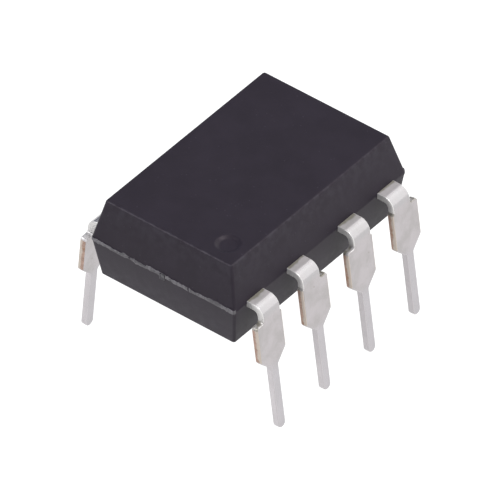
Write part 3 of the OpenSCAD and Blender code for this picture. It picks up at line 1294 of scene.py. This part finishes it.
@dataclass
class LeadRow:
    """The eight leads, each blanked from sheet, bent once over its anvil and tinned.

    Places along the sheet are measured from the middle of the body, as if the lead were still flat.
    """

    count: int = 8
    pitch: float = 2.54
    sheet_t: float = 0.25
    neck_w: float = 0.93
    neck_shift: float = 0.155
    neck_l: float = 0.27
    bend_r: float = 0.20
    splay: float = 6.3
    drop_l: float = 0.25
    shoulder_w: float = 1.37
    shoulder_l: float = 1.56
    taper_l: float = 0.49
    pin_w: float = 0.38
    shoulder_r: float = 0.12
    fillet_r: float = 0.10
    ledge_r: float = 0.02
    tip_round: float = 0.98
    finger_w: float = 0.60
    key_d: float = 0.40
    key_inset: float = 0.70
    frame_gap: float = 0.35
    paddle_l: float = 3.20
    paddle_w: float = 2.50
    tie_w: float = TIE_BAR_W
    die_roll: float = 0.035
    break_in: float = 0.012
    break_h: float = 0.07
    lip_share: float = 0.35
    level_w: float = 0.02
    roll_steps: int = 4
    bend_steps: int = 16
    hole_points: int = 32
    tile_gap: float = 7.0
    end_slack: float = 0.001
    side_slack: float = 0.004
    cut_slack: float = 1e-5
    # Lead 8 gets less painted shade on its ledge.
    less_shaded_leads: tuple[int, ...] = (8,)
    less_ledge_shade: float = 0.12
    sharp_angle: float = 35.0

    def __post_init__(self) -> None:
        """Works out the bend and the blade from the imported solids' heights."""
        self.bend_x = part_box("body")[1].x / MM + self.neck_l
        self.sheet_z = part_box("lead_1")[1].z / MM - self.sheet_t / 2
        self.bend_mid_r = self.bend_r + self.sheet_t / 2
        self.bend_z = self.sheet_z - self.bend_mid_r
        self.bend_turn = math.radians(90 - self.splay)
        self.bend_end = self.bend_x + self.bend_mid_r * self.bend_turn
        lean = math.radians(self.splay)
        self.blade_l = (self.bend_z + self.bend_r * math.sin(lean)) / math.cos(lean)
        self.ledge = self.bend_end + self.drop_l
        self.shoulder_end = self.ledge + self.shoulder_l
        self.pin_top = self.shoulder_end + self.taper_l
        self.end_y = -(self.count / 2 - 1) / 2 * self.pitch
        self.inner_y = self.end_y + self.pitch
        self.key_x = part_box("body")[1].x / MM - self.key_inset

    def blade_corners(self) -> list[Corner]:
        """Lays out the blade's outline, down its wide-ledged side, round the tip and up again.

        Returns:
            The corners, measured along the sheet and across from the middle of the blade.
        """
        tip = self.bend_end + self.blade_l
        shoulder = self.shoulder_w / 2
        pin = self.pin_w / 2
        neck_wide = self.neck_shift - self.neck_w / 2
        neck_near = self.neck_shift + self.neck_w / 2
        step = max(shoulder - neck_near, 0.0)
        tip_r = self.tip_round * pin
        return [
            (self.ledge, neck_wide, self.fillet_r), (self.ledge, -shoulder, self.shoulder_r),
            (self.shoulder_end, -shoulder, self.shoulder_r), (self.pin_top, -pin, self.fillet_r),
            (tip, -pin, tip_r), (tip, pin, tip_r),
            (self.pin_top, pin, self.fillet_r), (self.shoulder_end, shoulder, self.shoulder_r),
            (self.ledge, shoulder, self.ledge_r), (self.ledge - step, neck_near, self.ledge_r),
        ]

    def blank_corners(self, kind: LeadKind) -> list[Corner]:
        """Lays out a whole blank, in the +X -Y quarter.

        Args:
            kind: Which of the two blanks.

        Returns:
            The corners, along the sheet and along the body.
        """
        if kind is LeadKind.END:
            neck_y = self.end_y + self.neck_shift
            near = neck_y + self.neck_w / 2
            far = neck_y - self.neck_w / 2
            elbow = self.key_x - self.key_d
            tip_x = self.tie_w / 2 + self.frame_gap
            tip_y = -self.paddle_l / 2 - self.frame_gap
            blade = [(s, self.end_y + v, r) for s, v, r in self.blade_corners()]
            finger = [
                (elbow, near, 0.0), (tip_x + self.finger_w, near + self.finger_w, 0.0),
                (tip_x + self.finger_w, tip_y, 0.0), (tip_x, tip_y, 0.0),
                (tip_x, near + self.finger_w / 2, 0.0), (elbow, far, 0.0),
            ]
            return blade + finger
        neck_y = self.inner_y - self.neck_shift
        near = neck_y + self.neck_w / 2
        far = neck_y - self.neck_w / 2
        tip_x = self.paddle_w / 2 + self.frame_gap
        blade = [(s, self.inner_y - v, r) for s, v, r in reversed(self.blade_corners())]
        finger = [
            (tip_x, near, 0.0), (tip_x, near - self.finger_w, 0.0),
            (tip_x + self.neck_w - self.finger_w, far, 0.0),
        ]
        return blade + finger

    def layers(self) -> list[tuple[float, float]]:
        """Lays out the sheared side through the sheet's thickness.

        Returns:
            Each ring's inset from the outline and its height over the sheet's middle.
        """
        half = self.sheet_t / 2
        rolled = [(self.die_roll + self.level_w, half)]
        for k in range(self.roll_steps + 1):
            a = math.pi / 2 * k / self.roll_steps
            rolled.append((self.die_roll * (1 - math.sin(a)), half - self.die_roll * (1 - math.cos(a))))
        broken = [
            (0.0, self.break_h - half), (self.break_in, self.lip_share * self.break_h - half),
            (self.break_in, -half), (self.break_in + self.level_w, -half),
        ]
        return rolled + broken

    def bent(self, place: Vector) -> Vector:
        """Bends a point of the flat sheet.

        Args:
            place: The point along the sheet, along the body and over the sheet's middle.

        Returns:
            Where the bend leaves it.
        """
        turn = max(0.0, min((place.x - self.bend_x) / self.bend_mid_r, self.bend_turn))
        past = max(0.0, place.x - self.bend_end)
        arm = self.bend_mid_r + place.z
        x = min(place.x, self.bend_x) + arm * math.sin(turn) + past * math.cos(turn)
        return Vector((x, place.y, self.bend_z + arm * math.cos(turn) - past * math.sin(turn)))

    def side_face(self, start: Point, end: Point, centre_y: float) -> LeadFace:
        """Tells the bare sides of a shoulder from the plated ones.

        Args:
            start: Where the side face starts on the outline.
            end: Where it ends.
            centre_y: The middle of the blade, along the body.

        Returns:
            The kind of face.
        """
        wide = min(abs(start[1] - centre_y), abs(end[1] - centre_y)) > self.shoulder_w / 2 - self.side_slack
        along = all(self.ledge - self.end_slack < s < self.shoulder_end for s in (start[0], end[0]))
        return LeadFace.BARE_SHEAR if wide and along else LeadFace.PLATED_SHEAR

    def blank(self, kind: LeadKind) -> bmesh.types.BMesh:
        """Blanks a lead from flat sheet.

        Args:
            kind: Which of the two blanks.

        Returns:
            The flat form, with the finish of each face.
        """
        way = 1 if kind is LeadKind.END else -1
        centre_y = self.end_y if kind is LeadKind.END else self.inner_y
        key_y = centre_y + way * self.neck_shift
        hole = [
            (self.key_x + self.key_d / 2 * math.cos(a), key_y - self.key_d / 2 * math.sin(a))
            for a in (math.tau * i / self.hole_points for i in range(self.hole_points))
        ]
        form = bmesh.new()
        uppers = []
        lowers = []
        for loop in (rounded(self.blank_corners(kind)), hole):
            rings = [
                add_ring(form, [(s, y, n) for s, y in inset(loop, deep)]) for deep, n in self.layers()
            ]
            kinds = [self.side_face(a, b, centre_y) for a, b in zip(loop, loop[1:] + loop[:1])]
            join_rings(form, rings[0], rings[1])
            for upper, lower in zip(rings[1:], rings[2:-1]):
                join_rings(form, upper, lower, kinds)
            join_rings(form, rings[-2], rings[-1])
            uppers.append(rings[0])
            lowers.append(rings[-1])
        fill_rings(form, uppers)
        fill_rings(form, lowers)
        self.crease(form)
        return form

    def crease(self, form: bmesh.types.BMesh) -> None:
        """Cuts the flat form across wherever it will bend, and just outside the bend.

        Args:
            form: The flat form.
        """
        creases = [
            self.bend_x + (self.bend_end - self.bend_x) * k / self.bend_steps
            for k in range(self.bend_steps + 1)
        ]
        for s in (self.bend_x - self.level_w, *creases, self.bend_end + self.level_w):
            bmesh.ops.bisect_plane(
                form, geom=form.verts[:] + form.edges[:] + form.faces[:],
                plane_co=(s, 0, 0), plane_no=(1, 0, 0), dist=self.cut_slack,
            )

    def build(self) -> list[bpy.types.Object]:
        """Builds every lead, numbered round from the marked corner.

        Returns:
            The eight pieces.
        """
        return [self.lead(i) for i in range(1, self.count + 1)]

    def lead(self, i: int) -> bpy.types.Object:
        """Builds one lead in its place.

        Args:
            i: The lead's number.

        Returns:
            Its piece.
        """
        half = self.count // 2
        right = 1 if i <= half else -1
        front = 1 if i <= half // 2 or i > self.count - half // 2 else -1
        kind = LeadKind.END if i % half in (0, 1) else LeadKind.INNER
        form = self.blank(kind)
        sheet = form.verts.layers.float_vector.new("blank")
        for vert in form.verts:
            vert[sheet] = (vert.co.x, vert.co.y + self.tile_gap * i, vert.co.z)
            place = self.bent(vert.co)
            vert.co = (right * place.x, front * place.y, place.z)
        tin = TinPlate(
            root_s=self.bend_x - self.neck_l, bend_s=self.bend_x,
            bend_end_s=self.bend_end, pin_s=self.pin_top,
        )
        shear = PlatedShear(ledge_s=self.ledge)
        # This lead gets less painted shade on its ledge.
        if i in self.less_shaded_leads:
            shear = PlatedShear(name="less_shaded_shear", ledge_shade_share=self.less_ledge_shade, ledge_s=self.ledge)
        return make_piece(
            f"formed_lead_{i}", form, (tin, shear, BareShear()),
            f"lead_{i}", self.sharp_angle,
        )


@dataclass(frozen=True)
class HiddenParts:
    """What the moulding holds: the paddle, the glue, the die and its wires, as packed."""

    wires: int = 8
    tie_w: float = TIE_BAR_W

    def dress(self) -> list[bpy.types.Object]:
        """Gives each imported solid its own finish.

        Returns:
            The solids.
        """
        low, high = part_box("die_paddle")
        copper = PaddleCopper(
            bar_z=(low.z + high.z) / 2 / MM, bar_end=high.y / MM, bar_half_w=self.tie_w / 2
        )
        finishes: dict[str, Finish] = {
            "die_paddle": copper, "die_attach": SilverGlue(), "die": DieSilicon(),
        }
        for i in range(1, self.wires + 1):
            finishes[f"bond_wire_{i}"] = GoldWire()
        solids = [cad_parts[name] for name in finishes]
        for solid, finish in zip(solids, finishes.values()):
            solid.data.materials.clear()
            solid.data.materials.append(finish.material())
        return solids


@dataclass(frozen=True)
class Softbox:
    """A square lamp that faces the part from a distance."""

    name: str
    bearing: float
    height: float
    distance: float
    width: float
    radiance: float

    def hang(self, aim: Vector) -> None:
        """Hangs the lamp, which the camera doesn't see.

        Args:
            aim: The point it faces.
        """
        bearing = math.radians(self.bearing)
        height = math.radians(self.height)
        away = Vector((
            math.cos(bearing) * math.cos(height), math.sin(bearing) * math.cos(height), math.sin(height),
        ))
        lamp = bpy.data.lights.new(self.name, "AREA")
        lamp.shape = "SQUARE"
        lamp.size = self.width
        lamp.energy = self.radiance * math.pi * self.width * self.width
        made = bpy.data.objects.new(self.name, lamp)
        made.location = aim + away * self.distance
        made.rotation_mode = "QUATERNION"
        made.rotation_quaternion = away.to_track_quat("Z", "Y")
        made.visible_camera = False
        bpy.context.scene.collection.objects.link(made)


@dataclass(frozen=True)
class Studio:
    """A white table under soft lamps, and the camera at the photograph's angle."""

    azimuth: float = 39.71
    elevation: float = 41.18
    roll: float = -1.064
    distance: float = 523.2
    lens: float = 1072.7
    sensor_w: float = 36.0
    near: float = 0.01
    far: float = 20.0
    aim: Place = (1.570, -1.865, 5.350)
    floor_half: float = 3.0
    floor_glow: float = 1.04
    floor_tone: float = 0.10
    floor_roughness: float = 0.9
    sky_dim: Colour = (0.30, 0.32, 0.38)
    sky_bright: Colour = (1.70, 1.70, 1.70)
    sky_way: Place = (0.75, 0.45, 0.48)
    sky_edge: Point = (0.28, 0.50)
    lamps: tuple[Softbox, ...] = (
        Softbox("overhead_lamp", 34.0, 64.0, 0.70, 0.20, 15.0),
        Softbox("left_lamp", -126.0, 35.0, 0.70, 0.40, 6.8),
    )

    def set_up(self) -> None:
        """Lays the table, hangs the lamps, and puts up the surroundings and the camera."""
        bpy.context.scene.view_settings.view_transform = "Standard"
        aim = Vector(self.aim) * MM
        self.lay_floor()
        self.surround()
        for lamp in self.lamps:
            lamp.hang(aim)
            log.info("%s hung", lamp.name)
        self.stand_camera(aim)

    def lay_floor(self) -> None:
        """Lays the white table top, which can be seen through from below."""
        form = bmesh.new()
        bmesh.ops.create_grid(form, x_segments=8, y_segments=8, size=self.floor_half)
        mesh = bpy.data.meshes.new("table_top")
        form.to_mesh(mesh)
        form.free()
        finish = bpy.data.materials.new("white_table")
        finish.use_nodes = True
        recipe = Recipe(finish.node_tree)
        board = recipe.node("ShaderNodeBsdfPrincipled", None, {
            "Base Color": (self.floor_tone, self.floor_tone, self.floor_tone, 1.0),
            "Roughness": self.floor_roughness,
            "Emission Color": (1.0, 1.0, 1.0, 1.0),
            "Emission Strength": self.floor_glow,
        })
        clear = recipe.node("ShaderNodeBsdfTransparent")
        back = recipe.node("ShaderNodeNewGeometry")
        mixed = recipe.node("ShaderNodeMixShader", None, {
            0: Value(recipe, back.outputs["Backfacing"]),
            1: Value(recipe, board.outputs[0]),
            2: Value(recipe, clear.outputs[0]),
        })
        recipe.node("ShaderNodeOutputMaterial", None, {"Surface": Value(recipe, mixed.outputs[0])})
        mesh.materials.append(finish)
        floor = bpy.data.objects.new("table_top", mesh)
        bpy.context.scene.collection.objects.link(floor)

    def surround(self) -> None:
        """Puts up plain pale surroundings, brighter where the window is."""
        world = bpy.data.worlds.new("pale_room")
        bpy.context.scene.world = world
        world.use_nodes = True
        recipe = Recipe(world.node_tree)
        way = recipe.node("ShaderNodeTexCoord")
        facing = recipe.node("ShaderNodeVectorMath", {"operation": "DOT_PRODUCT"}, {
            0: Value(recipe, way.outputs["Generated"]), 1: self.sky_way,
        })
        lit = Value(recipe, facing.outputs["Value"]).between(*self.sky_edge)
        tone = recipe.blend(lit, self.sky_dim, self.sky_bright)
        sky = recipe.node("ShaderNodeBackground", None, {"Color": tone, "Strength": 1.0})
        recipe.node("ShaderNodeOutputWorld", None, {"Surface": Value(recipe, sky.outputs[0])})

    def stand_camera(self, aim: Vector) -> None:
        """Stands the camera where the photograph was taken from.

        Args:
            aim: The point in the middle of the picture.
        """
        around = math.radians(self.azimuth)
        above = math.radians(self.elevation)
        tilt = math.radians(self.roll)
        back = Vector((
            math.sin(around) * math.cos(above), -math.cos(around) * math.cos(above), math.sin(above),
        ))
        level = Vector((math.cos(around), math.sin(around), 0.0))
        upright = back.cross(level)
        right = level * math.cos(tilt) + upright * math.sin(tilt)
        up = upright * math.cos(tilt) - level * math.sin(tilt)
        optics = bpy.data.cameras.new("camera")
        optics.sensor_width = self.sensor_w
        optics.lens = self.lens
        optics.clip_start = self.near
        optics.clip_end = self.far
        camera = bpy.data.objects.new("camera", optics)
        camera.matrix_world = Matrix.Translation(aim + back * self.distance * MM) @ Matrix(
            (right, up, back)
        ).transposed().to_4x4()
        bpy.context.scene.collection.objects.link(camera)
        bpy.context.scene.camera = camera


def main() -> None:
    """Sets up the studio, builds the body and the leads, and dresses the hidden solids."""
    logging.basicConfig(level=logging.INFO, format="%(name)s: %(message)s")
    Studio().set_up()
    pieces = [MouldedBody().build(), *LeadRow().build(), *HiddenParts().dress()]
    for piece in pieces:
        skin = piece.data.materials[0].name
        log.info("%s: %d faces, first finish %s", piece.name, len(piece.data.polygons), skin)


if __name__ == "__main__":
    main()
